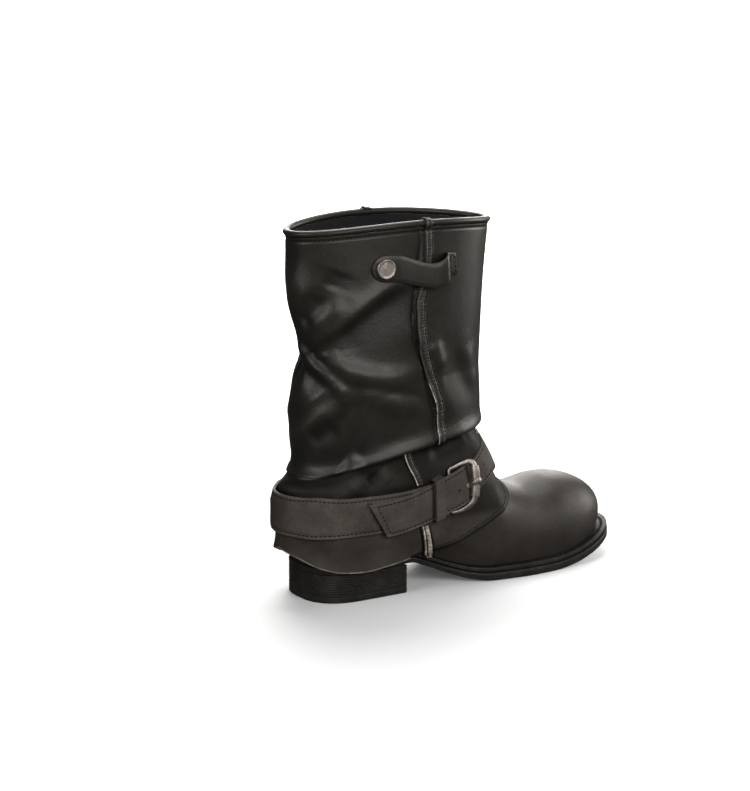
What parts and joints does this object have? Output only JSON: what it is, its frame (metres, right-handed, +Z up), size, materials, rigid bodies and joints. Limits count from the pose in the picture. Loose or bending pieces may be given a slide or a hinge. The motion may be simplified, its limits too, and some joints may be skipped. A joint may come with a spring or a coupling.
{
  "type": "mid-calf boot",
  "caption": "Slouched leather mid-calf boot with a round toe, stacked block heel, loose folded shaft, buckled ankle strap and a riveted pull strap below the collar.",
  "frame": {"origin": "centre of the heel's ground face, on the floor", "axes": "+X from heel to toe, +Y to the inner (medial) side of this right boot, +Z up along the shaft"},
  "size_m": [0.2999, 0.102, 0.2838],
  "materials": {
    "leather": "waxed dark brown-black leather with soft gloss on its folds",
    "vamp": "matt oiled leather, brownish grey",
    "strap": "waxed strap leather with stitched edges",
    "seam": "worn leather strip",
    "sole": "black, satin edges",
    "insole": "dark matt lining leather",
    "metal": "aged nickel, brushed"
  },
  "bodies": {
    "root": {"outsole": "sole", "welt": "sole", "heel": "sole", "heel_top_lift": "sole", "insole": "insole", "upper": "vamp", "shaft": "leather", "collar_piping": "leather", "outer_seam_hem": "seam", "outer_seam_ankle": "seam", "outer_seam_shaft": "seam", "inner_seam_hem": "seam", "inner_seam_ankle": "seam", "inner_seam_shaft": "seam", "ankle_strap": "strap", "strap_keeper": "strap", "buckle_frame": "metal", "buckle_prong": "metal", "pull_strap": "strap", "pull_strap_rivet": "metal"}
  },
  "joints": []
}
